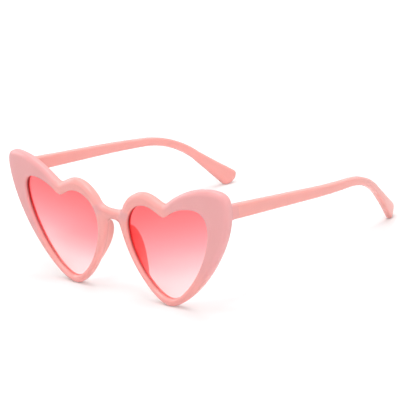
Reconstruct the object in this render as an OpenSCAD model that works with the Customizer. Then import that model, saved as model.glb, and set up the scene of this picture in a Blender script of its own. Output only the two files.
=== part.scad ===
// Heart shaped sunglasses, open and standing on a table.
// Millimetres. X runs to the wearer's left, Y from the lenses back to the arm tips, Z up.
// The origin is on the table, under the middle of the whole pair.

/* [Front] */
// Width of one lens opening
lens_w = 49.2; // [45:0.1:54]
// Height of one lens opening
lens_h = 48.6; // [44:0.1:54]
// Distance between the two openings across the nose
nose_gap = 19.4; // [17:0.1:24]
// Width of the rim under an opening
rim_w = 3.5; // [3:0.1:4.5]
// Width of the rim beside the nose
nose_rim_w = 4.4; // [3.6:0.1:5]
// Height of the rim above the inner lobe
inner_brow_h = 6.0; // [5:0.1:8]
// Height of the rim above the notch
notch_h = 6.1; // [5:0.1:8]
// Height of the rim above the outer lobe
outer_brow_h = 10.7; // [9:0.1:14]
// Width of the wing outside an opening
wing_w = 12.4; // [11:0.1:15]
// Height of the bridge
bridge_h = 4.8; // [4.6:0.1:7]
// Thickness of the front
front_t = 4.2; // [3.8:0.1:5]
// How far the wing tips lie behind the bridge
wing_sweep = 4.8; // [3:0.1:7]
// Lean of the front's top towards the onlooker, in degrees
front_lean = 1.3; // [0:0.1:3]
// Radius of the front's outer edge
edge_r = 1.3; // [0.8:0.1:1.6]
// Radius of the front's rear edge
back_r = 0.8; // [0.5:0.1:1.2]
// Radius of the lip round an opening
lip_r = 0.6; // [0.3:0.1:0.8]

/* [Lenses] */
// Thickness of a lens
lens_t = 1.2; // [1.1:0.1:1.5]
// Thickness of the rim behind a lens
rear_lip = 0.7; // [0.6:0.05:0.8]
// How far a lens reaches into its groove
lens_bite = 1.0; // [0.8:0.1:1.1]

/* [Nose pads] */
// Reach of a pad behind the front's rear face
pad_reach = 6.0; // [4:0.1:7]
// Height of a pad
pad_h = 24; // [18:0.5:28]
// Thickness of a pad at its root
pad_root_t = 2.1; // [2:0.1:3]
// Thickness of a pad at its rear edge
pad_edge_t = 2.5; // [2.4:0.1:4.5]
// How far a pad flares away from the nose
pad_flare = 0.4; // [0:0.1:1.5]

/* [Arms] */
// Length of an arm's straight part
arm_straight = 85.5; // [70:0.5:95]
// Radius of the bend over the ear
bend_r = 56; // [40:1:70]
// Turn of the bend over the ear, in degrees
bend_turn = 35; // [20:1:45]
// Length of the tail behind the bend
tail_l = 24.6; // [20:0.1:35]
// Thickness of an arm
arm_t = 4.0; // [3.6:0.1:5]
// Height of an arm at its hinge
arm_root_h = 7.2; // [6.8:0.1:9]
// Height of an arm at its bend
arm_neck_h = 4.2; // [3.6:0.1:6]
// Height of an arm at its tip
arm_tip_h = 8.9; // [6:0.1:11]
// Length of the rounded end of a tip
tip_round_l = 2.8; // [2:0.1:4]
// Radius of an arm's long edges
arm_edge_r = 1.2; // [0.6:0.1:1.4]
// Outward slope of an arm, in degrees
arm_splay = 0.9; // [0:0.1:2]
// How far a tip curves inwards
toe_in = 18.4; // [10:0.1:22]
// Gap between an arm's outer face and the end of the wing
arm_inset = 0.9; // [0.6:0.1:2]
// Distance from the face at the bridge back to the joint of lug and arm
joint_y = 12.5; // [12:0.1:15]
// Radius of the core wire in an arm
core_r = 0.6; // [0.4:0.05:0.7]
// Length of the core wire
core_l = 58; // [30:1:62]
// Distance of the core wire outside the arm's middle
core_out = 0.4; // [0.2:0.05:0.5]

/* [Hinges] */
// Radius of a hinge barrel
barrel_r = 1.45; // [1.3:0.05:1.6]
// Height of one of the three knuckles
knuckle_h = 1.7; // [1.4:0.1:1.8]
// Radius of the hinge screw
screw_r = 0.7; // [0.5:0.05:0.8]
// Radius of the screw's head
screw_head_r = 1.25; // [1.1:0.05:1.4]
// Height of the screw's head
screw_head_h = 0.6; // [0.4:0.1:0.9]
// Distance from the hinge axis to the inner faces
axis_in = 2.1; // [1.9:0.05:2.6]
// Thickness of a hinge leaf
leaf_t = 1.2; // [0.8:0.1:1.3]
// Length of a hinge leaf
leaf_l = 4.6; // [3.6:0.1:4.8]
// Radius of a leaf's anchor stud
anchor_r = 0.5; // [0.4:0.05:0.6]
// Length of a leaf's anchor stud
anchor_l = 1.4; // [0.8:0.1:1.6]

/* [Hidden] */

frame_pink = [0.93, 0.67, 0.67];
lens_pink = [0.99, 0.52, 0.56, 0.6];
metal = [0.78, 0.78, 0.8];

// Clearances, and the overrun of every cut
running_gap = 0.05;
seat_gap = 0.05;
joint_gap = 0.1;
overrun = 1;

// Places on an eye, as shares of its opening: across from the nose side, and up from the bottom
function across(share) = nose_gap / 2 + share * lens_w;
function up(share) = rim_w + share * lens_h;
half_w = across(1) + wing_w;

// Front face: it runs back from the bridge, slowly at first, and faster towards the wing tips
early_sweep_share = 0.28;
function sag(x) = let (u = x / half_w) wing_sweep * (early_sweep_share * u * u
    + (1 - early_sweep_share) * pow(u, 4));

// Cubic curve from knot to knot. A knot is [place, handle in, handle out].
function curve(a, b, t) = let (p = a[0], q = a[0] + a[2], r = b[0] - b[1], s = b[0])
    p * pow(1 - t, 3) + q * 3 * t * pow(1 - t, 2) + r * 3 * t * t * (1 - t) + s * pow(t, 3);
function trace(knots, counts) = [for (k = [0:len(counts) - 1]) for (j = [0:counts[k] - 1])
    curve(knots[k], knots[(k + 1) % len(knots)], j / counts[k])];

// Opening: place and handles of each knot in shares of lens_w and lens_h, clockwise from the notch
opening_shares = [
    [[0.486, 0.872], [0.051, 0], [0.051, 0]],
    [[0.85, 1], [0.224, 0], [0.1, 0]],
    [[1, 0.823], [0, -0.103], [0, -0.33]],
    [[0.439, 0], [-0.203, 0], [-0.163, 0]],
    [[0, 0.669], [0, 0.33], [0, 0.154]],
    [[0.262, 0.953], [0.152, 0], [0.112, 0]]];
function handle(share) = [share[0] * lens_w, share[1] * lens_h];
opening_knots = [for (k = opening_shares) [[across(k[0][0]), up(k[0][1])], handle(k[1]), handle(k[2])]];

// Outer edge of one eye, clockwise from the notch, with half of the bridge
bridge_top = up(0.825);
bridge_mid = bridge_top - bridge_h / 2;
edge_shares = [
    [[0.05, 0], [0.05, 0]],
    [[0.33, 0], [0.14, 0]],
    [[0, -0.11], [0, -0.5]],
    [[-0.26, 0], [-0.165, 0]],
    [[-0.07, 0.36], [-0.012, 0.07]],
    [[-0.05, 0], [0, 0]],
    [[0, 0], [0.1, 0]],
    [[0.022, 0.045], [0.033, 0.066]],
    [[0.148, 0], [0.112, 0]]];
edge_places = [
    [across(0.49), up(0.872) + notch_h],
    [across(1.06), up(1) + outer_brow_h],
    [half_w, up(1.06)],
    [across(0.425), 0],
    [nose_gap / 2 - nose_rim_w, up(0.638)],
    [0, bridge_top - bridge_h],
    [0, bridge_top],
    [across(-0.032), up(0.89)],
    [across(0.25), up(0.953) + inner_brow_h]];
edge_knots = [for (k = [0:len(edge_places) - 1])
    [edge_places[k], handle(edge_shares[k][0]), handle(edge_shares[k][1])]];

// Steps from knot to knot. The opening has as many steps in all as the outer edge.
edge_steps = [8, 6, 12, 10, 4, 2, 4, 5, 5];
nose_steps = edge_steps[4] + edge_steps[5] + edge_steps[6] + edge_steps[7];
opening_steps = [edge_steps[0], edge_steps[1], edge_steps[2], edge_steps[3], nose_steps, edge_steps[8]];
opening = trace(opening_knots, opening_steps);
edge = trace(edge_knots, edge_steps);
columns = len(edge);
bridge_first = edge_steps[0] + edge_steps[1] + edge_steps[2] + edge_steps[3] + edge_steps[4];
bridge_last = bridge_first + edge_steps[5];
function on_bridge(i) = i >= bridge_first && i <= bridge_last;

// Direction away from the opening, in the front's plane
function outward(path, i) = let (n = len(path), d = path[(i + 1) % n] - path[(i + n - 1) % n])
    [-d[1], d[0]] / norm(d);
opening_out = [for (i = [0:columns - 1]) outward(opening, i)];
edge_out = [for (i = [0:columns - 1]) on_bridge(i)
    ? [0, (edge[i][1] - bridge_mid) / (bridge_h / 2)] : outward(edge, i)];

// Section of the rim as rows of [share from opening to edge, step out from opening,
// step in from edge, depth]: lip, face, outer edge, rear and lens groove
lens_back = front_t - rear_lip;
lens_set = lens_back - lens_t;
groove_in = lens_bite + seat_gap;
rim_rows = [
    [0, 0, 0, lip_r],
    [0, lip_r * (1 - cos(45)), 0, lip_r * (1 - sin(45))],
    [0, lip_r, 0, 0],
    [1 / 3, lip_r, edge_r, 0],
    [2 / 3, lip_r, edge_r, 0],
    [1, 0, edge_r, 0],
    [1, 0, edge_r * (1 - sin(30)), edge_r * (1 - cos(30))],
    [1, 0, edge_r * (1 - sin(60)), edge_r * (1 - cos(60))],
    [1, 0, 0, edge_r],
    [1, 0, 0, front_t - back_r],
    [1, 0, back_r * (1 - cos(45)), front_t - back_r * (1 - sin(45))],
    [1, 0, back_r, front_t],
    [1 / 2, lip_r / 2, back_r, front_t],
    [0, lip_r / 2, 0, front_t],
    [0, 0, 0, front_t - lip_r / 2],
    [0, 0, 0, lens_back + seat_gap],
    [0, groove_in, 0, lens_back + seat_gap],
    [0, groove_in, 0, lens_set - seat_gap],
    [0, 0, 0, lens_set - seat_gap]];
rows = len(rim_rows);

function on_face(p, depth) = [p[0], sag(p[0]) + depth, p[1]];
function rim_point(i, row) = on_face((1 - row[0]) * (opening[i] + row[1] * opening_out[i])
    + row[0] * (edge[i] - row[2] * edge_out[i]), row[3]);

// Both eyes are one skin. They share the points of the outer edge on the bridge's middle.
function rim_id(eye, i, r) = let (shared = on_bridge(i) && rim_rows[r][0] == 1)
    (eye == 1 && !shared ? columns * rows : 0) + i * rows + r;
function inside_bridge(i, r) = on_bridge(i) && on_bridge(i + 1) && rim_rows[r][0] == 1
    && rim_rows[(r + 1) % rows][0] == 1;
function quad(a, b, c, d) = [[a, b, c], [a, c, d]];

module rim_skin() {
    one = [for (i = [0:columns - 1]) for (row = rim_rows) rim_point(i, row)];
    other = [for (p = one) [-p[0], p[1], p[2]]];
    faces = [for (eye = [0, 1]) for (i = [0:columns - 1]) for (r = [0:rows - 1])
        if (!inside_bridge(i, r))
            let (j = (i + 1) % columns, s = (r + 1) % rows,
                 a = rim_id(eye, i, r), b = rim_id(eye, i, s),
                 c = rim_id(eye, j, s), d = rim_id(eye, j, r))
            each (eye == 0 ? quad(a, b, c, d) : quad(d, c, b, a))];
    polyhedron(concat(one, other), faces, convexity = 8);
}

// Solid through a list of rings, each a closed ring of as many points
module loft(rings) {
    n = len(rings[0]);
    last = len(rings) - 1;
    walls = [for (k = [0:last - 1]) for (i = [0:n - 1]) let (j = (i + 1) % n)
        each quad(k * n + j, (k + 1) * n + j, (k + 1) * n + i, k * n + i)];
    caps = [for (i = [1:n - 2]) each [[0, i + 1, i], [last * n, last * n + i, last * n + i + 1]]];
    polyhedron([for (ring = rings) each ring], concat(walls, caps), convexity = 6);
}

// Rounded rectangle of half sizes a and b, counter-clockwise
function soft_box(a, b, r) = [for (q = [[1, 1], [-1, 1], [-1, -1], [1, -1]], k = [0:3])
    let (start = q[0] > 0 ? (q[1] > 0 ? 0 : 270) : (q[1] > 0 ? 90 : 180), t = start + k * 30)
    [q[0] * (a - r) + r * cos(t), q[1] * (b - r) + r * sin(t)]];

// The front stands on the lowest points of its hearts, which its lean lifts a little
foot_x = edge_places[3][0];
foot_lift = sin(front_lean) * (sag(foot_x) + edge_r);
module lean() {
    translate([0, 0, -foot_lift]) rotate([front_lean, 0, 0]) children();
}

// Side view of an arm: along it from the hinge, and up, before it drops to the table
arm_x = half_w - arm_inset - arm_t / 2;
hinge_z = up(0.98);
tail_start = [arm_straight + bend_r * sin(bend_turn), -bend_r * (1 - cos(bend_turn))];
tail_dir = [cos(bend_turn), -sin(bend_turn)];
tail_up = [sin(bend_turn), cos(bend_turn)];
tail_end = tail_start + tail_l * tail_dir;
tip_turns = [30, 60, 80];
tip_foot = tail_end + tip_round_l * sin(tip_turns[0]) * tail_dir
    - arm_tip_h / 2 * cos(tip_turns[0]) * tail_up;
// The arm drops until the lowest point of its tip is on the table
arm_drop = asin(hinge_z / norm(tip_foot)) - atan2(-tip_foot[1], tip_foot[0]);

// Each station is [middle, direction up, half height, share of full thickness]
straight_shares = [0.12, 0.25, 0.4, 0.55, 0.65, 0.74, 0.83, 0.92, 1];
bend_steps = 8;
tail_shares = [0.25, 0.5, 0.75, 1];
function mix(a, b, share) = a + (b - a) * share;
stations = concat(
    [for (s = straight_shares) [[s * arm_straight, 0], [0, 1], mix(arm_root_h, arm_neck_h, s) / 2, 1]],
    [for (k = [1:bend_steps]) let (t = bend_turn * k / bend_steps)
        [[arm_straight + bend_r * sin(t), -bend_r * (1 - cos(t))], [sin(t), cos(t)], arm_neck_h / 2, 1]],
    [for (s = tail_shares) [tail_start + s * tail_l * tail_dir, tail_up,
        mix(arm_neck_h, arm_tip_h, s) / 2, 1]],
    [for (t = tip_turns) [tail_end + tip_round_l * sin(t) * tail_dir, tail_up,
        arm_tip_h / 2 * cos(t), mix(0.45, 1, cos(t))]]);

// From the side view to the standing pair: the arm drops, splays and curves in
function dropped(p) = [p[0] * cos(arm_drop) + p[1] * sin(arm_drop),
    p[1] * cos(arm_drop) - p[0] * sin(arm_drop)];
tip_reach = dropped(tail_end)[0] + arm_tip_h / 2;
curve_start_share = 0.39;
function plan_x(y) = let (u = max(0, (y / tip_reach - curve_start_share) / (1 - curve_start_share)))
    arm_x + tan(arm_splay) * y - toe_in * u * u;
function plan_slope(y) = let (u = max(0, (y / tip_reach - curve_start_share) / (1 - curve_start_share)))
    tan(arm_splay) - 2 * toe_in * u / (tip_reach * (1 - curve_start_share));
function arm_point(side_place, off) = let (p = dropped(side_place), m = plan_slope(p[0]))
    [plan_x(p[0]) + off * sqrt(1 + m * m), joint_y + p[0], hinge_z + p[1]];
function arm_ring(st) = [for (q = soft_box(arm_t / 2 * st[3], st[2], min(arm_edge_r, st[2] * 0.55) * st[3]))
    arm_point(st[0] + q[1] * st[1], q[0])];
// The first ring is upright, flat against the lug
root_ring = [for (q = soft_box(arm_t / 2, arm_root_h / 2, arm_edge_r))
    arm_point([joint_gap - q[1] * tan(arm_drop), q[1]], q[0])];

// The whole pair is centred from its foremost point to the rear of the tips
tip_rear = joint_y + max([for (st = stations) for (s = [-1, 1]) dropped(st[0] + s * st[2] * st[1])[0]]);
face_front = min([for (i = [0:columns - 1]) for (row = rim_rows) let (p = rim_point(i, row))
    p[1] * cos(front_lean) - p[2] * sin(front_lean)]);
module place() {
    translate([0, -(tip_rear + face_front) / 2, 0]) children();
}
module side(s) {
    place() if (s > 0) children(); else mirror([1, 0, 0]) children();
}
module at_hinge() {
    translate([arm_x - arm_t / 2 - axis_in, joint_y + joint_gap / 2, hinge_z]) children();
}

// Lug behind the wing, in line with the arm
lug_root_shares = [1.25, 1.1, 1];
module lug() {
    sunk = front_t * 0.6;
    rear = sag(arm_x) + front_t - hinge_z * sin(front_lean);
    root_y = [rear - sunk, rear, joint_y];
    loft([for (k = [0:2]) [for (q = soft_box(arm_t / 2, arm_root_h / 2 * lug_root_shares[k], arm_edge_r))
        [arm_x + q[0], root_y[k], hinge_z + (joint_y - root_y[k]) * tan(arm_drop) + q[1]]]]);
}

// Hinge, about its own axis. s is -1 for the leaf in the lug and 1 for the leaf in the arm.
stack_h = 3 * knuckle_h + 2 * joint_gap;
leaf_h = stack_h + joint_gap;
leaf_start = leaf_h / 2 * tan(arm_drop) + joint_gap;
anchor_z = leaf_h / 2 - anchor_r * 2;
module anchors(s, gap) {
    for (z = [-anchor_z, anchor_z])
        translate([axis_in + leaf_t / 2, s * (leaf_start + leaf_l * 0.6), z])
            rotate([0, 90, 0]) cylinder(r = anchor_r + gap, h = leaf_t / 2 + anchor_l + gap, $fn = 24);
}
module leaf_plate(s) {
    rotate([-arm_drop, 0, 0]) {
        translate([axis_in, s > 0 ? leaf_start : -leaf_start - leaf_l, -leaf_h / 2])
            cube([leaf_t, leaf_l, leaf_h]);
        anchors(s, 0);
    }
}
module leaf_pocket(s) {
    h = leaf_h + 2 * seat_gap;
    l = leaf_start + leaf_l + seat_gap;
    rotate([-arm_drop, 0, 0]) {
        translate([axis_in - overrun, s > 0 ? -overrun : -l, -h / 2])
            cube([overrun + leaf_t + seat_gap, l + overrun, h]);
        anchors(s, seat_gap);
    }
}
web_t = barrel_r * 0.7;
module knuckle(s, z) {
    translate([0, 0, z - knuckle_h / 2]) {
        cylinder(r = barrel_r, h = knuckle_h, $fn = 48);
        translate([0, s > 0 ? barrel_r * 0.2 : -barrel_r * 0.2 - web_t, 0])
            cube([axis_in + leaf_t / 2, web_t, knuckle_h]);
    }
}
module screw_bore() {
    translate([0, 0, -stack_h]) cylinder(r = screw_r + running_gap, h = 2 * stack_h, $fn = 48);
}
module front_leaf() {
    at_hinge() difference() {
        union() {
            leaf_plate(-1);
            for (z = [-1, 1]) knuckle(-1, z * (knuckle_h + joint_gap));
        }
        screw_bore();
    }
}
module temple_leaf() {
    at_hinge() difference() {
        union() {
            leaf_plate(1);
            knuckle(1, 0);
        }
        screw_bore();
    }
}
module hinge_screw() {
    slot_w = screw_head_r * 0.3;
    at_hinge() difference() {
        union() {
            translate([0, 0, -stack_h / 2]) cylinder(r = screw_r, h = stack_h, $fn = 48);
            translate([0, 0, stack_h / 2]) cylinder(r = screw_head_r, h = screw_head_h, $fn = 48);
        }
        translate([-screw_head_r - overrun, -slot_w / 2, stack_h / 2 + screw_head_h / 2])
            cube([2 * (screw_head_r + overrun), slot_w, overrun]);
    }
}

// Front: the skin with its bridge, and a lug for each hinge
module front_frame() {
    color(frame_pink) place() difference() {
        union() {
            lean() rim_skin();
            for (s = [0, 1]) mirror([s, 0, 0]) lug();
        }
        for (s = [0, 1]) mirror([s, 0, 0]) at_hinge() leaf_pocket(-1);
    }
}

// Lens: the opening's outline grown into the groove, cut from a curved sheet
strips = 24;
module lens() {
    outline = [for (i = [0:columns - 1]) opening[i] + lens_bite * opening_out[i]];
    xs = [for (k = [0:strips]) mix(across(0) - 2 * lens_bite, across(1) + 2 * lens_bite, k / strips)];
    lean() intersection() {
        translate([0, half_w, 0]) rotate([90, 0, 0]) linear_extrude(2 * half_w) polygon(outline);
        linear_extrude(up(1) + rim_w) polygon(concat(
            [for (x = xs) [x, sag(x) + lens_set]],
            [for (k = [0:strips]) let (x = xs[strips - k]) [x, sag(x) + lens_back]]));
    }
}

// Nose pad: rings from its foot up. Each ring is the pad's plan at that height.
// The shares give height, reach, and step towards the lens as the rim slants away.
pad_top = bridge_top - bridge_h * 1.42;
pad_shares = [[0, 0.06], [0.05, 0.25], [0.12, 0.42], [0.2, 0.57], [0.3, 0.74], [0.4, 0.88], [0.5, 0.97],
    [0.6, 1], [0.7, 0.98], [0.8, 0.89], [0.88, 0.75], [0.94, 0.56], [0.98, 0.32], [1, 0.1]];
nose_side_first = bridge_first - edge_steps[4] - edge_steps[3];
function rim_side(z) = let (below = [for (i = [nose_side_first:bridge_first]) if (edge[i][1] <= z) edge[i]],
    a = below[len(below) - 1], b = edge[nose_side_first + len(below)])
    mix(a[0], b[0], (z - a[1]) / (b[1] - a[1]));
function pad_ring(h_share, reach_share) =
    let (z = pad_top - pad_h * (1 - h_share), reach = pad_reach * reach_share,
         t = mix(pad_root_t, pad_edge_t, reach_share), r = min(reach * 0.9, t * 0.48),
         x0 = rim_side(z) + back_r, x1 = x0 + pad_flare * reach_share, x2 = x1 + t,
         y0 = front_t + seat_gap, y1 = y0 + reach - r)
    [for (p = concat([[x0 + pad_root_t, y0], [x0, y0]],
        [for (k = [0:5]) let (turn = 180 - k * 18) [x1 + r + r * cos(turn), y1 + r * sin(turn)]],
        [for (k = [0:5]) let (turn = 90 - k * 18) [x2 - r + r * cos(turn), y1 + r * sin(turn)]]))
        [p[0], sag(p[0]) + p[1], z]];
module nose_pad() {
    lean() loft([for (s = pad_shares) pad_ring(s[0], s[1])]);
}

// Arm, with its leaf's pocket and the bore of its core wire
module core_line() {
    translate([arm_x + core_out, joint_y, hinge_z])
        rotate([-90 - arm_drop, 0, -arm_splay]) children();
}
module temple() {
    difference() {
        loft(concat([root_ring], [for (st = stations) arm_ring(st)]));
        at_hinge() leaf_pocket(1);
        core_line() translate([0, 0, -overrun])
            cylinder(r = core_r + seat_gap, h = core_l + overrun + seat_gap, $fn = 48);
    }
}
module core_wire() {
    inside = 3 * joint_gap;
    core_line() translate([0, 0, inside]) cylinder(r = core_r, h = core_l - inside, $fn = 48);
}

module lens_left() { color(lens_pink) side(1) lens(); }
module lens_right() { color(lens_pink) side(-1) lens(); }
module nose_pad_left() { color(frame_pink) side(1) nose_pad(); }
module nose_pad_right() { color(frame_pink) side(-1) nose_pad(); }
module front_leaf_left() { color(metal) side(1) front_leaf(); }
module front_leaf_right() { color(metal) side(-1) front_leaf(); }
module hinge_screw_left() { color(metal) side(1) hinge_screw(); }
module hinge_screw_right() { color(metal) side(-1) hinge_screw(); }
module temple_left() { color(frame_pink) side(1) temple(); }
module temple_right() { color(frame_pink) side(-1) temple(); }
module temple_leaf_left() { color(metal) side(1) temple_leaf(); }
module temple_leaf_right() { color(metal) side(-1) temple_leaf(); }
module core_wire_left() { color(metal) side(1) core_wire(); }
module core_wire_right() { color(metal) side(-1) core_wire(); }

front_frame();
lens_left();
lens_right();
nose_pad_left();
nose_pad_right();
front_leaf_left();
front_leaf_right();
hinge_screw_left();
hinge_screw_right();
temple_left();
temple_right();
temple_leaf_left();
temple_leaf_right();
core_wire_left();
core_wire_right();
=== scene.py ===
# %% [markdown]
# # Heart shaped sunglasses
#
# This lesson dresses a imported CAD model of a pair of sunglasses. The CAD model
# is the frame: it says where every piece is, and how the arms fold. Blender adds
# the smooth skins, the tinted lenses, the finishes, the light and the camera.
#
# The CAD skins are made of flat facets a few millimetres long. On a glossy
# plastic each facet would show as a flat spot in the reflections. So the front,
# the arms, the pads and the lenses are modelled again here, finer and softer, in
# the place where the CAD piece is. Each new piece hides the CAD piece it stands
# for, save the lugs, which are a part of the front in the CAD model.

# %% Load the frame
import math

import bmesh
import bpy
from mathutils import Matrix, Vector, kdtree


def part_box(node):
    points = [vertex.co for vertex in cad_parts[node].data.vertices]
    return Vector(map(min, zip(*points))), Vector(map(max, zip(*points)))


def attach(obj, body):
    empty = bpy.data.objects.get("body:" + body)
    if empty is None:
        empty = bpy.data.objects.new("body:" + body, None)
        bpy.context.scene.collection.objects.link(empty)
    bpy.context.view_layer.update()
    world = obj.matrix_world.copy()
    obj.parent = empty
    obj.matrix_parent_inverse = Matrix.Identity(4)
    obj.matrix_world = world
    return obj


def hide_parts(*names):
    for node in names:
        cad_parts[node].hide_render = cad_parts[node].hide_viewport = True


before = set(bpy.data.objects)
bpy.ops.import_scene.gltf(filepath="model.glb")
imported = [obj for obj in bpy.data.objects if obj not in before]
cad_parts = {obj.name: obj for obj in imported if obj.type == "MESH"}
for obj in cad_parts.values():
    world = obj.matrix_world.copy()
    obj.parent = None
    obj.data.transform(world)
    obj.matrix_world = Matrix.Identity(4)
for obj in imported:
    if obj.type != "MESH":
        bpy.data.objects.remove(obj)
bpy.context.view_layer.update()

MM = 0.001
# In metres: corners closer than this are one corner
SAME_PLACE = 1e-7
# In metres: gaps up to this are closed, and faces narrower than this are dissolved
WELD_GAP = 1e-6


# %% [markdown]
# ## Small helpers
#
# An operator acts on all that is selected, so each piece starts from an empty
# selection. A colour is written as a hex value, the way a paint chart gives it.
# That value is sRGB, and the shader wants linear light, so one function turns it.

# %% Helpers for selection, colour and nodes
def select_only(*objects):
    if bpy.context.view_layer.objects.active and bpy.context.mode != "OBJECT":
        bpy.ops.object.mode_set(mode="OBJECT")
    bpy.ops.object.select_all(action="DESELECT")
    for item in objects:
        item.select_set(True)
        bpy.context.view_layer.objects.active = item


def edit_all(piece):
    """Opens one piece in edit mode with all of it selected."""
    select_only(piece)
    bpy.ops.object.mode_set(mode="EDIT")
    bpy.ops.mesh.select_all(action="SELECT")


def colour(hex_value):
    channels = [int(hex_value[i:i + 2], 16) / 255 for i in (1, 3, 5)]
    linear = [c / 12.92 if c <= 0.04045 else ((c + 0.055) / 1.055) ** 2.4 for c in channels]
    return (*linear, 1.0)


def blank_tree(owner):
    """The emptied node tree of a material or of the world."""
    owner.use_nodes = True
    owner.node_tree.nodes.clear()
    return owner.node_tree


def add_node(tree, kind, settings=None, **inputs):
    """Adds one node. A socket given as an input is linked, and a value is set.

    An input is called by its name, or as i6 by its number where names repeat.
    """
    node = tree.nodes.new(kind)
    for name, value in (settings or {}).items():
        setattr(node, name, value)
    for name, value in inputs.items():
        socket = node.inputs[int(name[1:]) if name[0] == "i" and name[1:].isdigit()
                             else name.replace("_", " ")]
        if isinstance(value, bpy.types.NodeSocket):
            tree.links.new(value, socket)
        else:
            socket.default_value = value
    return node


def mix(low, high, share):
    return low + (high - low) * share


def smooth_step(low, high, value):
    share = min(1.0, max(0.0, (value - low) / (high - low)))
    return share * share * (3 - 2 * share)


print("white is", colour("#ffffff"), "and mid grey is", round(colour("#808080")[0], 3))

# %% [markdown]
# ## The measures
#
# These sizes are in millimetres and are the same as in the CAD source, so that a
# skin lies where the solid is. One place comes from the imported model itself: the
# hinge axis, which is the middle of the hinge screw. It tells how far the whole
# pair was shifted to stand centred on the origin.

# %% Sizes of the front, the arms and the hinges
LENS_W, LENS_H, NOSE_GAP, RIM_W = 49.2, 48.6, 19.4, 3.5
NOSE_RIM_W, INNER_BROW_H, NOTCH_H, OUTER_BROW_H, WING_W = 4.4, 6.0, 6.1, 10.7, 12.4
BRIDGE_H, FRONT_T, WING_SWEEP, FRONT_LEAN = 4.8, 4.2, 4.8, math.radians(1.3)
EDGE_R, BACK_R, LIP_R = 1.3, 0.8, 0.6
LENS_T, REAR_LIP, LENS_BITE, SEAT_GAP, JOINT_GAP = 1.2, 0.7, 1.0, 0.05, 0.1
ARM_T, ARM_ROOT_H, ARM_NECK_H, ARM_TIP_H = 4.0, 7.2, 4.2, 8.9
ARM_STRAIGHT, BEND_R, TAIL_L, TIP_ROUND_L = 85.5, 56.0, 24.6, 2.8
BEND_TURN, ARM_SPLAY = math.radians(35), math.radians(0.9)
ARM_EDGE_R, TOE_IN, ARM_INSET, JOINT_Y = 1.2, 18.4, 0.9, 12.5
# Places on the lens: heights as shares of LENS_H, and the heart's point across LENS_W
HINGE_SHARE, BRIDGE_TOP_SHARE, NOTCH_SHARE, INNER_LOBE_SHARE = 0.98, 0.825, 0.872, 0.953
POINT_SHARE = 0.425


def across(share):
    return NOSE_GAP / 2 + share * LENS_W


def up(share):
    return RIM_W + share * LENS_H


half_w = across(1) + WING_W
arm_x = half_w - ARM_INSET - ARM_T / 2
hinge_z = up(HINGE_SHARE)
screw_low, screw_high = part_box("hinge_screw_left")
hinge_y = (screw_low.y + screw_high.y) / 2 / MM
shift_y = hinge_y - (JOINT_Y + JOINT_GAP / 2)
print("the pair is shifted by", round(shift_y, 3), "mm, half its width is", half_w)

# %% [markdown]
# ## The heart curves
#
# A heart reads as a heart when its notch is tight, its lobes are full and its
# sides run nearly straight to the point. Six cubic curves with handles give that
# for the opening, and nine for the outer edge with half of the bridge. They run
# clockwise from the notch. The handles are shares of the lens size, so the heart
# keeps its character when its size changes.

# %% Outline of the opening and of the outer edge
def cubic(a, b, t):
    """Point between two knots. A knot is (place, handle in, handle out)."""
    out_point, in_point = a[0] + a[2], b[0] - b[1]
    return (a[0] * (1 - t) ** 3 + out_point * 3 * t * (1 - t) ** 2
            + in_point * 3 * t * t * (1 - t) + b[0] * t ** 3)


def trace(knots, counts):
    return [cubic(knots[k], knots[(k + 1) % len(knots)], j / counts[k])
            for k in range(len(counts)) for j in range(counts[k])]


def knot(place, handle_in, handle_out):
    return (Vector(place), Vector((handle_in[0] * LENS_W, handle_in[1] * LENS_H)),
            Vector((handle_out[0] * LENS_W, handle_out[1] * LENS_H)))


bridge_top = up(BRIDGE_TOP_SHARE)
bridge_low = bridge_top - BRIDGE_H
bridge_middle = (bridge_top + bridge_low) / 2
opening_knots = [
    knot((across(0.486), up(NOTCH_SHARE)), (0.051, 0), (0.051, 0)),
    knot((across(0.85), up(1)), (0.224, 0), (0.1, 0)),
    knot((across(1), up(0.823)), (0, -0.103), (0, -0.33)),
    knot((across(0.439), up(0)), (-0.203, 0), (-0.163, 0)),
    knot((across(0), up(0.669)), (0, 0.33), (0, 0.154)),
    knot((across(0.262), up(INNER_LOBE_SHARE)), (0.152, 0), (0.112, 0))]
edge_knots = [
    knot((across(0.49), up(NOTCH_SHARE) + NOTCH_H), (0.05, 0), (0.05, 0)),
    knot((across(1.06), up(1) + OUTER_BROW_H), (0.33, 0), (0.14, 0)),
    knot((half_w, up(1.06)), (0, -0.11), (0, -0.5)),
    knot((across(POINT_SHARE), 0), (-0.26, 0), (-0.165, 0)),
    knot((NOSE_GAP / 2 - NOSE_RIM_W, up(0.638)), (-0.07, 0.36), (-0.012, 0.07)),
    knot((0, bridge_low), (-0.05, 0), (0, 0)),
    knot((0, bridge_top), (0, 0), (0.1, 0)),
    knot((across(-0.032), up(0.89)), (0.022, 0.045), (0.033, 0.066)),
    knot((across(0.25), up(INNER_LOBE_SHARE) + INNER_BROW_H), (0.148, 0), (0.112, 0))]

# Corners on each curve of the outer edge: as few as carry the form, times FINER
FINER = 4
edge_counts = [FINER * n for n in (8, 6, 12, 10, 4, 2, 4, 5, 5)]
# How far along the nose side of the opening the columns of nose rim, bridge and lobe start
NOSE_SHARES = (0, 0.27, 0.33, 0.47, 1)
opening = trace(opening_knots, edge_counts[:4] + [0, edge_counts[8]])
nose_start = sum(edge_counts[:4])
opening[nose_start:nose_start] = [
    cubic(opening_knots[4], opening_knots[5], start + (stop - start) * j / count)
    for count, start, stop in zip(edge_counts[4:8], NOSE_SHARES, NOSE_SHARES[1:])
    for j in range(count)]
edge = trace(edge_knots, edge_counts)
columns = len(edge)
bridge_first = sum(edge_counts[:5])
bridge_last = bridge_first + edge_counts[5]
print("columns round one eye:", columns)


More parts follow.
